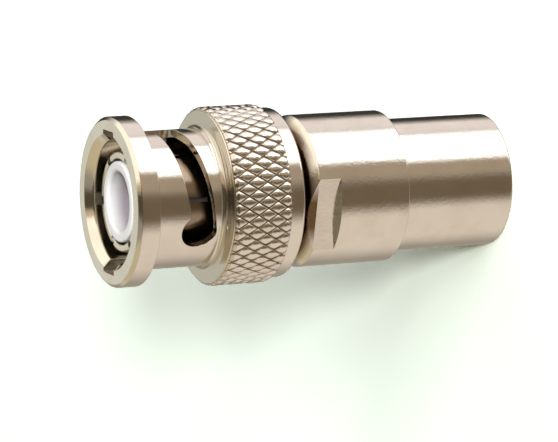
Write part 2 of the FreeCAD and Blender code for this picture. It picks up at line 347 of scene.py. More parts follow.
class Graph:
    """Node tree with short calls to add and join nodes."""

    def __init__(self, tree: bpy.types.NodeTree) -> None:
        """Takes over a node tree and empties it.

        Args:
            tree: The node tree.
        """
        self.tree = tree
        tree.nodes.clear()

    def add(self, kind: str, **settings: object) -> bpy.types.Node:
        """Adds a node.

        Args:
            kind: Node type without its ShaderNode prefix.
            settings: Attributes of the node, such as operation.

        Returns:
            The node.
        """
        node = self.tree.nodes.new(kind if kind.startswith("Node") else "ShaderNode" + kind)
        for key, value in settings.items():
            setattr(node, key, value)
        return node

    def feed(self, node: bpy.types.Node, **inputs: object) -> bpy.types.Node:
        """Sets or links inputs of a node, named by their label with underscores for spaces.

        Args:
            node: The node.
            inputs: Values or output sockets.

        Returns:
            The same node.
        """
        for key, value in inputs.items():
            socket = node.inputs[int(key[1:])] if key[0] == "i" and key[1:].isdigit() \
                else node.inputs[key.replace("_", " ")]
            if isinstance(value, bpy.types.NodeSocket):
                self.tree.links.new(value, socket)
            else:
                socket.default_value = value
        return node

    def math(self, operation: str, *values: object) -> bpy.types.NodeSocket:
        """Adds a Math node.

        Args:
            operation: Its operation.
            values: Numbers or output sockets.

        Returns:
            The result's socket.
        """
        node = self.add("Math", operation=operation)
        self.feed(node, **{f"i{index}": value for index, value in enumerate(values)})
        return node.outputs[0]

    def spread(self, value: bpy.types.NodeSocket, low: float, high: float,
               to_low: float = 0.0, to_high: float = 1.0) -> bpy.types.NodeSocket:
        """Maps a range smoothly onto another.

        Args:
            value: Socket to map.
            low: Start of its range.
            high: End of its range.
            to_low: Result at the start.
            to_high: Result at the end.

        Returns:
            The result's socket.
        """
        node = self.add("MapRange", interpolation_type="SMOOTHSTEP")
        self.feed(node, Value=value, From_Min=low, From_Max=high, To_Min=to_low, To_Max=to_high)
        return node.outputs["Result"]

    def blend(self, share: object, first: object, second: object) -> bpy.types.NodeSocket:
        """Mixes two colours.

        Args:
            share: Share of the second colour.
            first: Colour or socket.
            second: Colour or socket.

        Returns:
            The result's socket.
        """
        node = self.add("Mix", data_type="RGBA")
        self.feed(node, i0=share, i6=first, i7=second)
        return node.outputs[2]


class Effects:
    """Shader node groups that several finishes share."""

    def __init__(self) -> None:
        """Builds every group once."""
        self.turning = self._turning()
        self.grain = self._grain()
        self.recess_shade = self._recess_shade()

    @staticmethod
    def _group(name: str, inputs: Sequence[tuple[str, float]],
               outputs: Sequence[tuple[str, str]]) -> tuple[Graph, bpy.types.Node, bpy.types.Node]:
        """Makes an empty group with its sockets.

        Args:
            name: Name of the group.
            inputs: Name and value of each number that it takes.
            outputs: Name and socket type of each result.

        Returns:
            The graph, its input node and its output node.
        """
        tree = bpy.data.node_groups.new(name, "ShaderNodeTree")
        for label, value in inputs:
            socket = tree.interface.new_socket(name=label, in_out="INPUT", socket_type="NodeSocketFloat")
            socket.default_value = value
        for label, kind in outputs:
            tree.interface.new_socket(name=label, in_out="OUTPUT", socket_type=kind)
        graph = Graph(tree)
        return graph, graph.add("NodeGroupInput"), graph.add("NodeGroupOutput")

    @staticmethod
    def polar(graph: Graph) -> tuple[bpy.types.NodeSocket, bpy.types.NodeSocket, bpy.types.NodeSocket]:
        """Radius, angle and height of the point, in millimetres and radians.

        Args:
            graph: Graph that the nodes are added to.

        Returns:
            Sockets of radius, angle and height.
        """
        place = graph.feed(graph.add("SeparateXYZ"), Vector=graph.add("TexCoord").outputs["Object"])
        across, along, height = place.outputs
        square = graph.math("ADD", graph.math("MULTIPLY", across, across),
                            graph.math("MULTIPLY", along, along))
        radius = graph.math("DIVIDE", graph.math("SQRT", square), MM)
        return radius, graph.math("ARCTAN2", along, across), graph.math("DIVIDE", height, MM)

    def _turning(self) -> bpy.types.NodeTree:
        """Fine lines that a lathe leaves round the axis.

        Returns:
            Group with the lines' height.
        """
        graph, given, result = self._group(
            "turning_lines", [("Lines per mm", 12.0), ("Waver", 1.5)],
            [("Height", "NodeSocketFloat")])
        radius, angle, height = self.polar(graph)
        lines = given.outputs["Lines per mm"]
        path = graph.feed(graph.add("CombineXYZ"), X=graph.math("MULTIPLY", radius, lines),
                          Y=graph.math("MULTIPLY", angle, given.outputs["Waver"]),
                          Z=graph.math("MULTIPLY", height, lines))
        noise = graph.feed(graph.add("TexNoise"), Vector=path.outputs[0], Scale=1.0, Detail=3.0,
                           Roughness=0.6)
        graph.feed(result, Height=noise.outputs["Fac"])
        return result.id_data

    def _grain(self) -> bpy.types.NodeTree:
        """Orange-peel grain of the plating.

        Returns:
            Group with the grain's height and a broad mask of handling.
        """
        graph, given, result = self._group(
            "plating_grain", [("Grains per mm", 5.0), ("Patch mm", 3.0)],
            [("Height", "NodeSocketFloat"), ("Patches", "NodeSocketFloat")])
        place = graph.add("TexCoord").outputs["Object"]
        scale = graph.math("DIVIDE", given.outputs["Grains per mm"], MM)
        noise = graph.feed(graph.add("TexNoise"), Vector=place, Scale=scale, Detail=4.0, Roughness=0.62)
        broad = graph.math("DIVIDE", 1 / MM, given.outputs["Patch mm"])
        patch = graph.feed(graph.add("TexNoise"), Vector=place, Scale=broad, Detail=3.0, Roughness=0.55)
        graph.feed(result, Height=noise.outputs["Fac"],
                   Patches=graph.spread(patch.outputs["Fac"], 0.35, 0.68))
        return result.id_data

    def _recess_shade(self) -> bpy.types.NodeTree:
        """Mask of painted shade that grows towards the axis between two radii, within a range of
        heights.

        Returns:
            Group with the mask.
        """
        graph, given, result = self._group(
            "painted_recess_shade",
            [("Deep radius", 6.99), ("Top radius", 7.17), ("Low height", 20.4), ("High height", 25.4)],
            [("Mask", "NodeSocketFloat")])
        radius, _, height = self.polar(graph)
        depth = graph.feed(graph.add("MapRange"), Value=radius, From_Min=given.outputs["Top radius"],
                           From_Max=given.outputs["Deep radius"])
        above = graph.math("GREATER_THAN", height, given.outputs["Low height"])
        below = graph.math("LESS_THAN", height, given.outputs["High height"])
        mask = graph.math("MULTIPLY", depth.outputs["Result"], graph.math("MULTIPLY", above, below))
        graph.feed(result, Mask=mask)
        return result.id_data


@dataclass(frozen=True)
class Recess:
    """Painted shade: a darker colour in a recess, where shade falls.

    Args:
        colour: The colour at its deepest.
        deep_radius: Radius where it is fully there.
        top_radius: Radius where it ends.
        low: Level where it begins.
        high: Level where it ends.
    """

    colour: tuple[float, float, float]
    deep_radius: float
    top_radius: float
    low: float
    high: float

    def over(self, graph: Graph, effects: Effects, colour: bpy.types.NodeSocket) -> bpy.types.NodeSocket:
        """Lays the painted shade of the recess over another colour.

        Args:
            graph: Graph of the material.
            effects: Shared node groups.
            colour: Colour of the clean surface.

        Returns:
            The result's socket.
        """
        mask = graph.add("Group", node_tree=effects.recess_shade)
        graph.feed(mask, Deep_radius=self.deep_radius, Top_radius=self.top_radius, Low_height=self.low,
                   High_height=self.high)
        return graph.blend(mask.outputs["Mask"], colour, (*self.colour, 1))


@dataclass(frozen=True)
class MetalFinish:
    """Plated or bare metal.

    Args:
        name: Name of the material.
        colour: Clean metal.
        dull: Metal where it has dulled.
        roughness: Roughness of the clean metal.
        dull_roughness: Roughness where it has dulled.
        line_depth: Depth of the turning lines in millimetres.
        lines_per_mm: How close the turning lines are.
        grain_depth: Depth of the plating's grain in millimetres.
        grains_per_mm: How fine the grain is.
        painted_shade: Painted shade in each recess.
    """

    name: str
    colour: tuple[float, float, float]
    dull: tuple[float, float, float]
    roughness: float
    dull_roughness: float
    line_depth: float = 0.0006
    lines_per_mm: float = 12.0
    grain_depth: float = 0.002
    grains_per_mm: float = 5.0
    painted_shade: tuple[Recess, ...] = ()

    def material(self, effects: Effects) -> bpy.types.Material:
        """Builds the material.

        Args:
            effects: Shared node groups.

        Returns:
            The material.
        """
        made = bpy.data.materials.new(self.name)
        made.use_nodes = True
        graph = Graph(made.node_tree)
        out = graph.add("OutputMaterial")
        shader = graph.add("BsdfPrincipled")
        turning = graph.add("Group", node_tree=effects.turning)
        graph.feed(turning, Lines_per_mm=self.lines_per_mm)
        grain = graph.add("Group", node_tree=effects.grain)
        graph.feed(grain, Grains_per_mm=self.grains_per_mm)
        colour = graph.blend(grain.outputs["Patches"], (*self.colour, 1), (*self.dull, 1))
        # Painted shade laid into each recess
        for recess in self.painted_shade:
            colour = recess.over(graph, effects, colour)
        rough = graph.spread(grain.outputs["Patches"], 0, 1, self.roughness, self.dull_roughness)
        first = graph.feed(graph.add("Bump"), Strength=1.0, Distance=self.grain_depth * MM,
                           Height=grain.outputs["Height"])
        second = graph.feed(graph.add("Bump"), Strength=1.0, Distance=self.line_depth * MM,
                            Height=turning.outputs["Height"], Normal=first.outputs[0])
        graph.feed(shader, Base_Color=colour, Metallic=1.0, Roughness=rough, Normal=second.outputs[0])
        graph.feed(out, Surface=shader.outputs[0])
        return made


@dataclass(frozen=True)
class Hollow:
    """Shade that deepens down a round hollow.

    Args:
        colour: Colour at its bottom.
        radius: Radius inside which it lies.
        rim: Level where the shade begins.
        floor: Level where it is fully there.
    """

    colour: tuple[float, float, float]
    radius: float
    rim: float
    floor: float

    def over(self, graph: Graph, colour: bpy.types.NodeSocket) -> bpy.types.NodeSocket:
        """Lays the shade over a colour.

        Args:
            graph: Graph of the material.
            colour: Colour of the clean surface.

        Returns:
            The result's socket.
        """
        radius, _, height = Effects.polar(graph)
        inside = graph.math("LESS_THAN", radius, self.radius)
        depth = graph.spread(height, self.floor, self.rim, 1, 0)
        return graph.blend(graph.math("MULTIPLY", inside, depth), colour, (*self.colour, 1))


@dataclass(frozen=True)
class MouldedFinish:
    """Moulded plastic or rubber.

    Args:
        name: Name of the material.
        colour: Colour of the surface.
        shade: Colour of its slight mottling.
        roughness: Roughness.
        waxiness: Weight of the light that passes under the surface.
        grain_depth: Depth of the moulded texture in millimetres.
        painted_shade: Painted shade in a recess, or None.
        hollow: Shade down a hollow, or None.
    """

    name: str
    colour: tuple[float, float, float]
    shade: tuple[float, float, float]
    roughness: float
    waxiness: float
    grain_depth: float = 0.003
    painted_shade: Recess | None = None
    hollow: Hollow | None = None

    def material(self, effects: Effects) -> bpy.types.Material:
        """Builds the material.

        Args:
            effects: Shared node groups.

        Returns:
            The material.
        """
        made = bpy.data.materials.new(self.name)
        made.use_nodes = True
        graph = Graph(made.node_tree)
        out = graph.add("OutputMaterial")
        shader = graph.add("BsdfPrincipled")
        grain = graph.add("Group", node_tree=effects.grain)
        colour = graph.blend(grain.outputs["Patches"], (*self.colour, 1), (*self.shade, 1))
        # Painted shade in a recess
        if self.painted_shade is not None:
            colour = self.painted_shade.over(graph, effects, colour)
        if self.hollow is not None:
            colour = self.hollow.over(graph, colour)
        bump = graph.feed(graph.add("Bump"), Strength=1.0, Distance=self.grain_depth * MM,
                          Height=grain.outputs["Height"])
        graph.feed(shader, Base_Color=colour, Roughness=self.roughness, Normal=bump.outputs[0],
                   Subsurface_Weight=self.waxiness, Subsurface_Radius=(1.0, 0.9, 0.8),
                   Subsurface_Scale=0.6 * MM)
        graph.feed(out, Surface=shader.outputs[0])
        return made


@dataclass
class Knurl:
    """Diamond knurl of the nut's grip, cut on a sleeve that the nut's shell carries."""

    bottom: float = 20.45
    top: float = 25.3
    root: float = 6.99
    tip: float = 7.25
    bore: float = 6.6
    count: int = 42
    pitch: float = 1.65
    first_tip: float = 24.99
    phase: float = 3.6
    edge_inset: tuple[float, float] = (0.04, 0.08)
    insets: tuple[tuple[float, float], ...] = ((0.06, 0.07), (0.08, 0.055), (0.09, 0.035), (0.06, 0.01))
    whole_cell: float = 0.4

    def build(self) -> bpy.types.Object:
        """Cuts the diamonds as a lattice and raises each to a rounded point.

        Returns:
            The sleeve.
        """
        cells = 4
        low = self.first_tip - (cells - 0.5) * self.pitch
        Bench.clear()
        bpy.ops.mesh.primitive_cylinder_add(
            vertices=self.count, radius=self.root * MM, depth=cells * self.pitch * MM,
            end_fill_type="NOTHING", location=(0, 0, (low + cells * self.pitch / 2) * MM))
        piece = bpy.context.active_object
        piece.name = "knurl_sleeve"
        Bench.settle(piece)
        bpy.ops.object.mode_set(mode="EDIT")
        bpy.ops.mesh.select_mode(type="EDGE")
        self._select(piece, lambda run: abs(run.z) > 0.5 * run.length)
        bpy.ops.mesh.subdivide(number_cuts=cells - 1)
        bpy.ops.mesh.select_all(action="SELECT")
        bpy.ops.mesh.poke()
        self._select(piece, lambda run: abs(run.z) < 0.01 * MM or math.hypot(run.x, run.y) < 0.01 * MM)
        bpy.ops.mesh.dissolve_edges(use_verts=False)
        bpy.ops.object.mode_set(mode="OBJECT")
        self._cast(piece, self.root)
        self._trim(piece)
        self._raise_points(piece)
        self._close(piece)
        piece.rotation_euler.z = math.radians(self.phase)
        Bench.settle(piece)
        return piece

    @staticmethod
    def _select(piece: bpy.types.Object, test: Callable[[Vector], bool]) -> None:
        """Selects edges by their run.

        Args:
            piece: The object in edit mode.
            test: Tells whether an edge with that run is selected.
        """
        bpy.ops.mesh.select_all(action="DESELECT")
        mesh = bmesh.from_edit_mesh(piece.data)
        for edge in mesh.edges:
            edge.select = edge.is_manifold and test(edge.verts[1].co - edge.verts[0].co)
        bmesh.update_edit_mesh(piece.data)

    @staticmethod
    def _cast(piece: bpy.types.Object, radius: float) -> None:
        """Brings every point to one radius.

        Args:
            piece: The object.
            radius: The radius.
        """
        Bench.only(piece)
        step = piece.modifiers.new("cast", "CAST")
        step.cast_type = "CYLINDER"
        step.factor = 1.0
        step.size = radius * MM
        step.use_radius_as_size = False
        step.use_z = False
        bpy.ops.object.modifier_apply(modifier=step.name)

    def _raise_points(self, piece: bpy.types.Object) -> None:
        """Raises every cell, and the whole ones on to a rounded point.

        Args:
            piece: The lattice.
        """
        Bench.only(piece)
        bpy.ops.object.mode_set(mode="EDIT")
        bpy.ops.mesh.select_mode(type="FACE")
        mesh = bmesh.from_edit_mesh(piece.data)
        small = {face.index for face in mesh.faces if face.calc_area() < self.whole_cell * MM * MM}
        bpy.ops.mesh.select_all(action="SELECT")
        thickness, rise = self.edge_inset
        bpy.ops.mesh.inset(thickness=thickness * MM, depth=rise * MM, use_individual=True)
        mesh = bmesh.from_edit_mesh(piece.data)
        for face in mesh.faces:
            if face.index in small:
                face.select_set(False)
        bmesh.update_edit_mesh(piece.data)
        for thickness, rise in self.insets:
            bpy.ops.mesh.inset(thickness=thickness * MM, depth=rise * MM, use_individual=True)
        bpy.ops.object.mode_set(mode="OBJECT")

    def _trim(self, piece: bpy.types.Object) -> None:
        """Cuts the lattice off at both ends of the grip.

        Args:
            piece: The object.
        """
        Bench.only(piece)
        bpy.ops.object.mode_set(mode="EDIT")
        for level, upper in ((self.bottom, False), (self.top, True)):
            bpy.ops.mesh.select_all(action="SELECT")
            bpy.ops.mesh.bisect(plane_co=(0, 0, level * MM), plane_no=(0, 0, 1), clear_outer=upper,
                                clear_inner=not upper, threshold=0.001 * MM)
        bpy.ops.object.mode_set(mode="OBJECT")

    def _close(self, piece: bpy.types.Object) -> None:
        """Closes the sleeve with flat ends and a plain bore.

        Args:
            piece: The object.
        """
        Bench.only(piece)
        bpy.ops.object.mode_set(mode="EDIT")
        bpy.ops.mesh.select_mode(type="EDGE")
        bpy.ops.mesh.select_all(action="DESELECT")
        bpy.ops.mesh.select_non_manifold()
        bpy.ops.mesh.extrude_edges_move(TRANSFORM_OT_translate={"value": (0, 0, 0)})
        shrink = self.bore / self.root
        bpy.ops.transform.resize(value=(shrink, shrink, 1), center_override=(0, 0, 0))
        bpy.ops.mesh.bridge_edge_loops()
        bpy.ops.mesh.select_all(action="SELECT")
        bpy.ops.mesh.normals_make_consistent(inside=False)
        bpy.ops.object.mode_set(mode="OBJECT")


@dataclass
class CouplingNut:
    """Bayonet nut: knurled grip, slotted barrel and front flange."""

    knurl: Knurl = field(default_factory=Knurl)
    rim: float = 19.2
    front: float = 33.4
    cavity: float = 5.95
    band: float = 6.9
    collar: float = 6.95
    shoulder: float = 25.4
    fillet: float = 0.55
    barrel: float = 5.55
    flange: float = 6.85
    flange_under: float = 31.55
    chamfer: float = 0.3
    bore: float = 4.9
    mouth: float = 0.6
    inner_shoulder: float = 22.6
    groove: float = 6.42
    groove_low: float = 19.98
    groove_high: float = 20.5
    slot_width: float = 2.1
    entry_width: float = 2.2
    entry_reach: float = 5.75
    entry_angle: float = 13.0
    entry_level: float = 28.8
    slot_end_level: float = 27.25
    travel: float = 111.0
    detent_level: float = 27.75
    detent: float = 1.4
    tracks: int = 2
    burr: float = 0.05

    def outline(self) -> list[Corner]:
        """Section of the shell without its knurl.

        Returns:
            Corners from the cavity's rim round the outside.
        """
        return [
            Corner(self.cavity, self.rim, 0.1),
            Corner(self.band, self.rim, 0.24),
            Corner(self.band, self.knurl.top - 0.05),
            Corner(self.collar, self.knurl.top - 0.02),
            Corner(self.collar, self.shoulder, 0.07),
            Corner(self.barrel, self.shoulder, self.fillet),
            Corner(self.barrel, self.flange_under, 0.08),
            Corner(self.flange, self.flange_under, 0.08),
            Corner(self.flange, self.front - self.chamfer, 0.12),
            Corner(self.flange - self.chamfer, self.front, 0.12),
            Corner(self.bore + self.mouth, self.front, 0.12),
            Corner(self.bore, self.front - self.mouth, 0.25),
            Corner(self.bore, self.inner_shoulder, 0.05),
            Corner(self.cavity, self.inner_shoulder, 0.05),
            Corner(self.cavity, self.groove_high),
            Corner(self.groove, self.groove_high),
            Corner(self.groove, self.groove_low),
            Corner(self.cavity, self.groove_low),
        ]

    def track_cutter(self) -> bpy.types.Object:
        """Spiral ramp of one lug track.

        Returns:
            The cutter.
        """
        inner, outer, steps = self.bore - 0.8, self.barrel + 0.6, 60
        Bench.clear()
        bpy.ops.mesh.primitive_plane_add(size=1, rotation=(math.pi / 2, 0, 0),
                                         location=((inner + outer) / 2 * MM, 0, self.entry_level * MM))
        cutter = bpy.context.active_object
        cutter.scale = ((outer - inner) * MM, self.slot_width * MM, 1)
        Bench.settle(cutter)
        cutter.rotation_euler.z = math.radians(self.entry_angle)
        Bench.settle(cutter)
        fall = (self.slot_end_level - self.entry_level) * MM / steps
        turn = math.radians(self.travel) / steps
        bpy.ops.object.mode_set(mode="EDIT")
        bpy.ops.mesh.select_all(action="SELECT")
        for _ in range(steps):
            bpy.ops.mesh.extrude_region_move(TRANSFORM_OT_translate={"value": (0, 0, fall)})
            bpy.ops.transform.rotate(value=turn, orient_axis="Z", center_override=(0, 0, 0))
        bpy.ops.mesh.select_all(action="SELECT")
        bpy.ops.mesh.normals_make_consistent(inside=False)
        bpy.ops.object.mode_set(mode="OBJECT")
        return cutter

    def cutters(self) -> list[bpy.types.Object]:
        """Every cutter of the two lug tracks.

        Returns:
            Cutters in the order they are used.
        """
        inner, outer = self.bore - 0.8, self.barrel + 0.6
        made = []
        for index in range(self.tracks):
            lead = index * 360 / self.tracks
            ramp = self.track_cutter()
            ramp.rotation_euler.z = math.radians(lead)
            Bench.settle(ramp)
            entry, end = self.entry_angle + lead, self.entry_angle - self.travel + lead
            made += [
                ramp,
                Bench.block(Vector((inner, -self.entry_width / 2, self.entry_level)),
                            Vector((self.entry_reach, self.entry_width / 2, self.front + 1)), entry),
                Bench.drill(self.entry_width / 2, inner, outer, self.entry_level, entry),
                Bench.drill(self.slot_width / 2, inner, outer, self.slot_end_level, end),
                Bench.drill(self.detent, inner, outer, self.detent_level, end),
            ]
        return made

    def build(self, finish: bpy.types.Material) -> None:
        """Models and dresses the nut.

        Args:
            finish: The nut's plating.
        """
        shell = Lathe(256).turn("coupling_nut_shell", self.outline())
        Bench.combine(shell, self.cutters(), "DIFFERENCE")
        Bench.ease_edges(shell, self.burr, self._on_track)
        Bench.smooth(shell, SMOOTH_ANGLE)
        knurl = self.knurl.build()
        Bench.smooth(knurl, CROWN_ANGLE)
        Bench.only(shell)
        knurl.select_set(True)
        bpy.ops.object.join()
        Bench.finish(shell, finish, BodyName.NUT, Slot.NICKEL, "coupling_nut")

    def _on_track(self, place: Vector) -> bool:
        """Tells whether an edge belongs to a lug track.

        Args:
            place: Middle of the edge in millimetres.

        Returns:
            True on the tracks and their entries.
        """
        return place.z > self.shoulder + self.fillet + 0.05


@dataclass
class AdapterBody:
    """Turned body: flange, neck, cone, drum with two flats, and the socket barrel."""

    barrel: float = 5.43
    bore: float = 4.76
    bore_depth: float = 9.2
    step: float = 9.7
    drum: float = 6.2
    drum_top: float = 17.55
    cone_top: float = 19.15
    neck: float = 4.6
    flange: float = 5.9
    flange_low: float = 21.8
    flange_high: float = 22.6
    contact_bore: float = 3.95
    web_low: float = 14.5
    web_high: float = 16.5
    web_hole: float = 2.6
    seat: float = 4.0
    flats: float = 5.4
    flats_low: float = 15.75

    def build(self, finish: bpy.types.Material) -> None:
        """Models and dresses the body.

        Args:
            finish: The body's plating.
        """
        body = Lathe(256).turn("adapter_body", [
            Corner(self.bore, 0, 0.18),
            Corner(self.barrel, 0, 0.2),
            Corner(self.barrel, self.step, 0.06),
            Corner(self.drum, self.step, 0.12),
            Corner(self.drum, self.drum_top, 0.1),
            Corner(self.neck, self.cone_top, 0.05),
            Corner(self.neck, self.flange_low, 0.05),
            Corner(self.flange, self.flange_low, 0.05),
            Corner(self.flange, self.flange_high, 0.05),
            Corner(self.contact_bore, self.flange_high, 0.05),
            Corner(self.contact_bore, self.web_high, 0.05),
            Corner(self.web_hole, self.web_high, 0.05),
            Corner(self.web_hole, self.web_low, 0.05),
            Corner(self.seat, self.web_low, 0.05),
            Corner(self.seat, self.bore_depth, 0.05),
            Corner(self.bore, self.bore_depth, 0.05),
        ])
        reach = self.drum + 1
        low = Vector((-reach, self.flats, self.flats_low))
        high = Vector((reach, reach, self.cone_top))
        flats = [Bench.block(low, high, turn) for turn in (0, 180)]
        Bench.combine(body, flats, "DIFFERENCE")
        Bench.ease_edges(body, 0.04, self._on_flats)
        Bench.smooth(body, SMOOTH_ANGLE)
        Bench.finish(body, finish, BodyName.ADAPTER, Slot.NICKEL, "body")

    def _on_flats(self, place: Vector) -> bool:
        """Tells whether an edge bounds a flat.

        Args:
            place: Middle of the edge in millimetres.

        Returns:
            True round the two flats.
        """
        return self.flats_low - 0.1 < place.z < self.cone_top - 0.1 and abs(place.y) > self.flats - 0.1


@dataclass
class OuterContact:
    """Slotted spring tube of the plug."""

    foot: float = 16.5
    tip: float = 32.5
    outer: float = 3.95
    inner: float = 3.45
    bead: float = 4.05
    bead_start: float = 1.4
    bead_full: float = 1.2
    fingers: int = 6
    slot_tip: float = 0.65
    slot_root: float = 0.35
    slot_length: float = 6.0
    slot_angle: float = 49.0

    def build(self, finish: bpy.types.Material) -> None:
        """Models and dresses the tube.

        Args:
            finish: Its plating.
        """
        tube = Lathe(192).turn("outer_contact_fingers", [
            Corner(self.inner, self.foot, 0.05),
            Corner(self.outer, self.foot, 0.05),
            Corner(self.outer, self.tip - self.bead_start, 0.3),
            Corner(self.bead, self.tip - self.bead_full, 0.2),
            Corner(self.bead, self.tip, 0.24),
            Corner(self.inner, self.tip, 0.12),
        ])
        base = self.tip - self.slot_length
        cutters = [self._slot_cutter(self.slot_angle + index * 360 / self.fingers)
                   for index in range(self.fingers)]
        Bench.combine(tube, cutters, "DIFFERENCE")
        Bench.ease_edges(tube, 0.03, lambda place: place.z > base - self.slot_root)
        Bench.smooth(tube, SMOOTH_ANGLE)
        Bench.finish(tube, finish, BodyName.ADAPTER, Slot.NICKEL, "outer_contact")

    def _slot_cutter(self, angle: float) -> bpy.types.Object:
        """Wedge between two fingers, wider at the tip, where they stand apart.

        Args:
            angle: Its direction about the axis in degrees.

        Returns:
            The cutter.
        """
        base, half = self.tip - self.slot_length, self.slot_root / 2
        cutter = Bench.block(Vector((self.inner - 1, -half, base)),
                             Vector((self.bead + 1, half, self.tip)))
        Bench.only(cutter)
        bpy.ops.object.mode_set(mode="EDIT")
        bpy.ops.mesh.select_mode(type="FACE")
        bpy.ops.mesh.select_all(action="DESELECT")
        mesh = bmesh.from_edit_mesh(cutter.data)
        for face in mesh.faces:
            face.select_set(face.normal.z > 0.9)
        bmesh.update_edit_mesh(cutter.data)
        widen = self.slot_tip / self.slot_root
        bpy.ops.transform.resize(value=(1, widen, 1), center_override=(0, 0, 0))
        bpy.ops.mesh.extrude_region_move(TRANSFORM_OT_translate={"value": (0, 0, MM)})
        bpy.ops.object.mode_set(mode="OBJECT")
        cutter.rotation_euler.z = math.radians(angle)
        Bench.settle(cutter)
        return cutter


@dataclass
class FrontInsulator:
    """White cup round the pin."""

    foot: float = 16.5
    collar_top: float = 23.5
    collar: float = 3.45
    cup: float = 3.25
    bore: float = 2.4
    tip: float = 32.6
    floor: float = 27.4
    hole: float = 1.0

    def build(self, finish: bpy.types.Material) -> None:
        """Models and dresses the cup.

        Args:
            finish: Its plastic.
        """
        cup = Lathe(160).turn("front_insulator_cup", [
            Corner(self.hole, self.foot, 0.05),
            Corner(self.collar, self.foot, 0.1),
            Corner(self.collar, self.collar_top, 0.08),
            Corner(self.cup, self.collar_top, 0.05),
            Corner(self.cup, self.tip, 0.16),
            Corner(self.bore, self.tip, 0.26),
            Corner(self.bore, self.floor, 0.2),
            Corner(self.hole, self.floor, 0.05),
        ])
        Bench.smooth(cup, SMOOTH_ANGLE)
        Bench.finish(cup, finish, BodyName.ADAPTER, Slot.INSULATOR, "front_insulator")


@dataclass
class CentreConductor:
    """Pin of the plug and the slotted contact of the socket."""

    pin: float = 0.675
    shank: float = 1.0
    foot: float = 13.5
    shank_top: float = 27.4
    pin_tip: float = 31.2
    taper: float = 0.9
    tip: float = 0.3
    tube: float = 2.0
    tube_bore: float = 1.2
    tube_rim: float = 1.2
    tube_floor: float = 9.2
    tube_top: float = 14.5
    stem: float = 1.6
    stem_top: float = 16.5
    slit: float = 0.4
    slit_top: float = 7.2

    def build(self, finish: bpy.types.Material) -> None:
        """Models and dresses both pieces.

        Args:
            finish: Their plating.
        """
        pin = Lathe(96).turn("centre_pin_rod", [
            Corner(self.shank, self.foot),
            Corner(self.shank, self.shank_top, 0.06),
            Corner(self.pin, self.shank_top, 0.04),
            Corner(self.pin, self.pin_tip - self.taper, 0.5),
            Corner(self.tip, self.pin_tip, 0.18),
            Corner(self.tip / 3, self.pin_tip),
        ], End.CAPPED)
        Bench.smooth(pin, SMOOTH_ANGLE)
        Bench.finish(pin, finish, BodyName.ADAPTER, Slot.CONTACT, "centre_pin")
        contact = Lathe(128).turn("socket_contact_tube", [
            Corner(self.tube_bore, self.tube_rim, 0.12),
            Corner(self.tube, self.tube_rim, 0.15),
            Corner(self.tube, self.tube_top, 0.05),
            Corner(self.stem, self.tube_top),
            Corner(self.stem, self.stem_top, 0.05),
            Corner(self.shank + 0.01, self.stem_top),
            Corner(self.shank + 0.01, self.tube_floor + 0.8),
            Corner(self.tube_bore, self.tube_floor),
        ])
        reach = self.tube + 1
        slits = [Bench.block(Vector((-reach, -self.slit / 2, self.tube_rim - 1)),
                             Vector((reach, self.slit / 2, self.slit_top)), turn) for turn in (0, 90)]
        Bench.combine(contact, slits, "DIFFERENCE")
        Bench.smooth(contact, SMOOTH_ANGLE)
        Bench.finish(contact, finish, BodyName.ADAPTER, Slot.CONTACT, "socket_contact")


@dataclass
class RearInsulator:
    """Disc behind the socket bore."""

    bore: float = 2.0
    seat: float = 4.0
    low: float = 9.2
    high: float = 14.5

    def build(self, finish: bpy.types.Material) -> None:
        """Models and dresses the disc.

        Args:
            finish: Its plastic.
        """
        disc = Lathe(128).turn("rear_insulator_disc", [
            Corner(self.bore, self.low, 0.06),
            Corner(self.seat, self.low, 0.04),
            Corner(self.seat, self.high, 0.04),
            Corner(self.bore, self.high, 0.04),
        ])
        Bench.smooth(disc, SMOOTH_ANGLE)
        Bench.finish(disc, finish, BodyName.ADAPTER, Slot.INSULATOR, "rear_insulator")


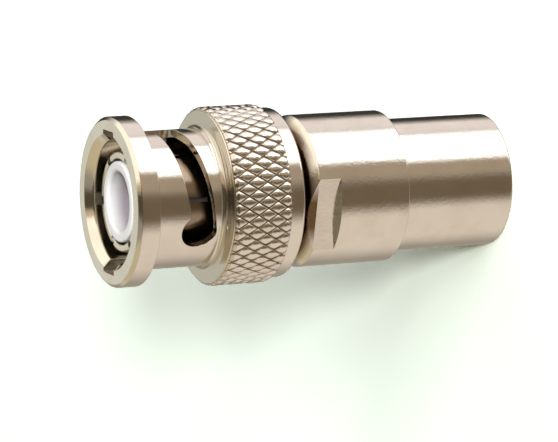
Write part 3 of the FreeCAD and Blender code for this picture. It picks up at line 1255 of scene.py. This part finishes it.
@dataclass
class SealAndSprings:
    """Gasket, retaining ring, thrust washer and the two wave washers, which hardly show."""

    gasket_inner: float = 3.97
    gasket_outer: float = 4.62
    gasket_low: float = 22.6
    gasket_high: float = 23.4
    ring_inner: float = 5.45
    ring_outer: float = 6.4
    ring_low: float = 20.0
    ring_high: float = 20.5
    ring_gap: float = 1.6
    ring_gap_angle: float = 103.0
    washer_inner: float = 4.65
    washer_outer: float = 5.85
    washer_high: float = 20.8

    def build(self, rubber: bpy.types.Material, steel: bpy.types.Material) -> None:
        """Models and dresses the small rings.

        Args:
            rubber: Finish of the gasket.
            steel: Finish of the ring and washers.
        """
        gasket = self._ring("gasket_ring", self.gasket_inner, self.gasket_outer, self.gasket_low,
                            self.gasket_high, 0.2)
        Bench.smooth(gasket, SMOOTH_ANGLE)
        Bench.finish(gasket, rubber, BodyName.ADAPTER, Slot.GASKET, "gasket")
        ring = self._ring("retaining_ring_split", self.ring_inner, self.ring_outer, self.ring_low,
                          self.ring_high, 0.08)
        gap = Bench.block(Vector((0, -self.ring_gap / 2, self.ring_low - 1)),
                          Vector((self.ring_outer + 1, self.ring_gap / 2, self.ring_high + 1)),
                          self.ring_gap_angle)
        Bench.combine(ring, [gap], "DIFFERENCE")
        Bench.smooth(ring, SMOOTH_ANGLE)
        Bench.finish(ring, steel, BodyName.NUT, Slot.SPRING, "retaining_ring")
        washer = self._ring("thrust_washer_flat", self.washer_inner, self.washer_outer, self.ring_high,
                            self.washer_high, 0.05)
        Bench.smooth(washer, SMOOTH_ANGLE)
        Bench.finish(washer, steel, BodyName.WASHER, Slot.SPRING, "thrust_washer")
        for name in ("wave_washer_front", "wave_washer_rear"):
            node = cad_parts[name]
            node.data.materials.clear()
            node.data.materials.append(steel)

    @staticmethod
    def _ring(name: str, inner: float, outer: float, low: float, high: float,
              rounding: float) -> bpy.types.Object:
        """Plain ring with rounded corners.

        Args:
            name: Name of the piece.
            inner: Inner radius.
            outer: Outer radius.
            low: Lower level.
            high: Upper level.
            rounding: Radius of its corners.

        Returns:
            The ring.
        """
        return Lathe(160).turn(name, [Corner(inner, low, rounding), Corner(outer, low, rounding),
                                      Corner(outer, high, rounding), Corner(inner, high, rounding)])


@dataclass(frozen=True)
class Patch:
    """Soft-edged patch of light or shade in the studio, as the metal mirrors it.

    Args:
        centre: Its middle, in degrees from the camera towards +X.
        half: Half its width in degrees.
        low: Elevation where it begins.
        high: Elevation where it ends.
        colour: Light that comes from it.
        soft: Width of its side edges in degrees.
    """

    centre: float
    half: float
    low: float
    high: float
    colour: tuple[float, float, float]
    soft: float = 12.0


@dataclass(frozen=True)
class Lamp:
    """Oval soft lamp that faces the part.

    Args:
        name: Its name.
        turn: Degrees from the camera towards +X.
        elevation: Degrees above the floor.
        distance: Metres from the part.
        width: Metres along the floor.
        height: Metres upwards.
        power: Watts.
    """

    name: str
    turn: float
    elevation: float
    distance: float
    width: float
    height: float
    power: float


@dataclass
class Studio:
    """Pale floor, soft lamps, surroundings and the camera."""

    azimuth: float = 23.0
    elevation: float = 23.22
    roll: float = -93.84
    aim: tuple[float, float, float] = (-2.48, -0.24, 18.42)
    distance: float = 295.6
    lens: float = 234.1
    sensor: float = 36.0
    lamps: tuple[Lamp, ...] = (
        Lamp("low_lamp", 6.0, 22.5, 4.2, 0.55, 0.45, 130.0),
        Lamp("edge_lamp", 15.0, 28.0, 4.2, 1.05, 0.90, 37.0),
        Lamp("side_lamp", 32.0, 44.0, 4.2, 2.25, 1.50, 55.0),
        Lamp("upper_lamp", 95.0, 45.0, 4.2, 4.80, 1.80, 23.0),
    )
    room: tuple[float, float, float] = (0.4, 0.36, 0.3)
    edge_rise: float = 10.0
    patches: tuple[Patch, ...] = (
        # Round the part: a pale wall, a strip box, and what is dark between them
        Patch(-75, 25, -60, 0, (0.9, 0.8, 0.7), 50),
        Patch(-15, 10, -60, 0, (0.2, 0.15, 0.1), 25),
        Patch(24, 6, -60, 0, (0.5, 0.4, 0.3), 15),
        Patch(65, 25, -60, 0, (2.0, 2.0, 2.0), 6),
        Patch(112, 12, -60, 0, (1.1, 1.0, 1.0), 10),
        Patch(160, 18, -60, 0, (0.05, 0.05, 0.05), 8),
        # Above the part: a wall in front of the plug, shade by the camera and an overhead box
        Patch(180, 40, 15, 50, (0.8, 0.8, 0.7), 30),
        Patch(-100, 35, 15, 50, (0.7, 0.6, 0.4), 25),
        Patch(-10, 20, 15, 80, (0.1, 0.08, 0.05), 25),
        Patch(28, 4, 15, 80, (0.7, 0.55, 0.35), 10),
        Patch(88, 42, 15, 80, (1.5, 1.4, 1.2), 12),
    )
    fill_low: tuple[float, float, float] = (0.015, 0.015, 0.016)
    fill_high: tuple[float, float, float] = (0.04, 0.04, 0.04)
    fill_top: tuple[float, float, float] = (0.03, 0.03, 0.031)
    fill_top_from: float = 0.35
    floor_colour: tuple[float, float, float] = (0.80, 0.80, 0.80)
    floor_seen: tuple[float, float, float] = (0.705, 0.778, 0.696)

    def build(self) -> None:
        """Sets up the whole studio."""
        self._camera()
        self._floor()
        for lamp in self.lamps:
            self._lamp(lamp)
        self._world()
        bpy.context.scene.view_settings.view_transform = "Standard"

    @staticmethod
    def _towards(azimuth: float, elevation: float) -> Vector:
        """Direction from the part, by azimuth from -Y towards +X and elevation.

        Args:
            azimuth: Degrees round the part.
            elevation: Degrees above the floor.

        Returns:
            Unit vector.
        """
        turn, rise = math.radians(azimuth), math.radians(elevation)
        flat = math.cos(rise)
        return Vector((math.sin(turn) * flat, -math.cos(turn) * flat, math.sin(rise)))

    def _camera(self) -> None:
        """Places the camera at the photograph's angle."""
        data = bpy.data.cameras.new("camera")
        camera = bpy.data.objects.new("camera", data)
        bpy.context.scene.collection.objects.link(camera)
        data.lens, data.sensor_width = self.lens, self.sensor
        data.clip_start, data.clip_end = 0.01, 10
        back = self._towards(self.azimuth, self.elevation)
        upright = (-back).to_track_quat("-Z", "Y").to_matrix()
        turned = upright @ Matrix.Rotation(math.radians(self.roll), 3, "Z")
        place = Vector(self.aim) + back * self.distance
        camera.matrix_world = Matrix.Translation(place * MM) @ turned.to_4x4()
        bpy.context.scene.camera = camera

    def _floor(self) -> None:
        """Lays the pale floor, which shows the part's shadow and lets reflections pass."""
        Bench.clear()
        bpy.ops.mesh.primitive_plane_add(size=6)
        floor = bpy.context.active_object
        floor.name = "floor"
        made = bpy.data.materials.new("pale_floor")
        made.use_nodes = True
        graph = Graph(made.node_tree)
        rays = graph.add("LightPath")
        cloth = graph.feed(graph.add("BsdfDiffuse"), Color=(*self.floor_colour, 1))
        sheet = graph.feed(graph.add("BsdfDiffuse"), Color=(*self.floor_seen, 1))
        shown = graph.feed(graph.add("AddShader"), i0=sheet.outputs[0], i1=sheet.outputs[0])
        seen = graph.feed(graph.add("MixShader"), i0=rays.outputs["Is Camera Ray"], i1=cloth.outputs[0],
                          i2=shown.outputs[0])
        through = graph.add("BsdfTransparent")
        both = graph.feed(graph.add("MixShader"), i0=rays.outputs["Is Glossy Ray"], i1=seen.outputs[0],
                          i2=through.outputs[0])
        graph.feed(graph.add("OutputMaterial"), Surface=both.outputs[0])
        floor.data.materials.append(made)

    def _lamp(self, lamp: Lamp) -> None:
        """Hangs a soft lamp that throws the part's shadow.

        Args:
            lamp: Its place, size and power.
        """
        data = bpy.data.lights.new(lamp.name, "AREA")
        data.shape, data.energy = "ELLIPSE", lamp.power
        data.size, data.size_y = lamp.width, lamp.height
        hung = bpy.data.objects.new(lamp.name, data)
        bpy.context.scene.collection.objects.link(hung)
        hung.visible_glossy = False
        way = self._towards(self.azimuth + lamp.turn, lamp.elevation)
        facing = way.to_track_quat("Z", "Y").to_matrix().to_4x4()
        hung.matrix_world = Matrix.Translation(way * lamp.distance) @ facing

    def _over(self, graph: Graph, patch: Patch, share: bpy.types.NodeSocket, rise: bpy.types.NodeSocket,
              colour: object) -> bpy.types.NodeSocket:
        """Lays a patch over the surroundings.

        Args:
            graph: Graph of the world.
            patch: The patch.
            share: Share of the full turn.
            rise: Sine of the elevation.
            colour: Colour behind the patch.

        Returns:
            The colour's socket.
        """
        turned = graph.math("FRACT", graph.math("SUBTRACT", share, patch.centre / 360 - 1))
        off = graph.math("ABSOLUTE", graph.math("SUBTRACT", turned, 0.5))
        wide = graph.spread(off, patch.half / 360, (patch.half + patch.soft) / 360, 1, 0)
        low, full, high, top = (math.sin(math.radians(level)) for level in (
            patch.low - self.edge_rise, patch.low, patch.high, patch.high + self.edge_rise))
        tall = graph.math("MULTIPLY", graph.spread(rise, low, full), graph.spread(rise, high, top, 1, 0))
        return graph.blend(graph.math("MULTIPLY", wide, tall), colour, (*patch.colour, 1))

    def _world(self) -> None:
        """Surrounds the part with bands of light that the metal mirrors."""
        world = bpy.data.worlds.new("studio")
        bpy.context.scene.world = world
        world.use_nodes = True
        graph = Graph(world.node_tree)
        way = graph.feed(graph.add("SeparateXYZ"), Vector=graph.add("TexCoord").outputs["Generated"])
        east, north, rise = way.outputs
        azimuth = graph.math("ARCTAN2", east, graph.math("MULTIPLY", north, -1.0))
        share = graph.math("FRACT", graph.math("ADD", graph.math("DIVIDE", azimuth, 2 * math.pi),
                                               0.5 - self.azimuth / 360 + 1))
        mirrored = (*self.room, 1)
        for patch in self.patches:
            mirrored = self._over(graph, patch, share, rise, mirrored)
        side = graph.spread(east, -1, 1)
        level = graph.blend(side, (*self.fill_low, 1), (*self.fill_high, 1))
        soft = graph.blend(graph.spread(rise, self.fill_top_from, 1), level, (*self.fill_top, 1))
        rays = graph.add("LightPath")
        studio = graph.feed(graph.add("Background"), Color=mirrored)
        fill = graph.feed(graph.add("Background"), Color=soft)
        pale = graph.feed(graph.add("Background"), Color=(1, 1, 1, 1))
        lit = graph.feed(graph.add("MixShader"), i0=rays.outputs["Is Diffuse Ray"], i1=studio.outputs[0],
                         i2=fill.outputs[0])
        seen = graph.feed(graph.add("MixShader"), i0=rays.outputs["Is Camera Ray"], i1=lit.outputs[0],
                          i2=pale.outputs[0])
        graph.feed(graph.add("OutputWorld"), Surface=seen.outputs[0])


def main() -> None:
    """Builds the finishes, the pieces in order and the studio."""
    logging.basicConfig(level=logging.INFO, format="%(message)s", stream=sys.stdout)
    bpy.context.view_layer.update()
    effects = Effects()
    clean, dull = (0.72, 0.68, 0.61), (0.68, 0.63, 0.56)
    # The nut's two recess colours are painted shade: darker brown in the knurl's grooves, and on the
    # shoulder face and fillet above the knurl
    nickel = MetalFinish("nickel_plating", clean, dull, 0.10, 0.14, line_depth=0.0012, grain_depth=0.005,
                         painted_shade=(Recess((0.42, 0.34, 0.25), 6.99, 7.12, 20.4, 25.3),
                                Recess((0.52, 0.48, 0.42), 6.85, 6.97, 25.35, 25.65))
                         ).material(effects)
    # The body's recess colour is painted shade: dark brown on the cone and neck just under the nut's rim
    body_nickel = MetalFinish("body_plating", clean, dull, 0.10, 0.14, grain_depth=0.011,
                              grains_per_mm=3.5,
                              painted_shade=(Recess((0.14, 0.085, 0.045), 5.5, 6.0, 17.6, 19.3),)
                              ).material(effects)
    # The sleeve's recess colour is painted shade: darker on the contact's outer wall deep inside the
    # nut's bore
    sleeve = MetalFinish("contact_sleeve", clean, dull, 0.16, 0.24, grain_depth=0.005,
                         painted_shade=(Recess((0.30, 0.23, 0.17), 3.9, 3.7, 16.0, 31.2),)).material(effects)
    steel = MetalFinish("spring_steel", (0.56, 0.55, 0.53), (0.42, 0.41, 0.40),
                        0.28, 0.4).material(effects)
    gold = MetalFinish("contact_plating", (0.85, 0.66, 0.33), (0.72, 0.54, 0.27),
                       0.16, 0.24).material(effects)
    # The insulator's recess colour is painted shade: near black on the cup's outer wall seen through the
    # contact's slots; its hollow colour is painted shade down the cup
    white = MouldedFinish("white_insulator", (0.86, 0.86, 0.86), (0.80, 0.80, 0.81), 0.42, 0.25,
                          painted_shade=Recess((0.05, 0.045, 0.04), 3.22, 3.1, 16.0, 31.4),
                          hollow=Hollow((0.32, 0.28, 0.31), 2.6, 32.5, 31.0)).material(effects)
    rubber = MouldedFinish("silicone_gasket", (0.50, 0.46, 0.42), (0.42, 0.39, 0.36),
                           0.6, 0.0).material(effects)
    CouplingNut().build(nickel)
    AdapterBody().build(body_nickel)
    OuterContact().build(sleeve)
    FrontInsulator().build(white)
    CentreConductor().build(gold)
    RearInsulator().build(white)
    SealAndSprings().build(rubber, steel)
    Studio().build()


if __name__ == "__main__":
    main()
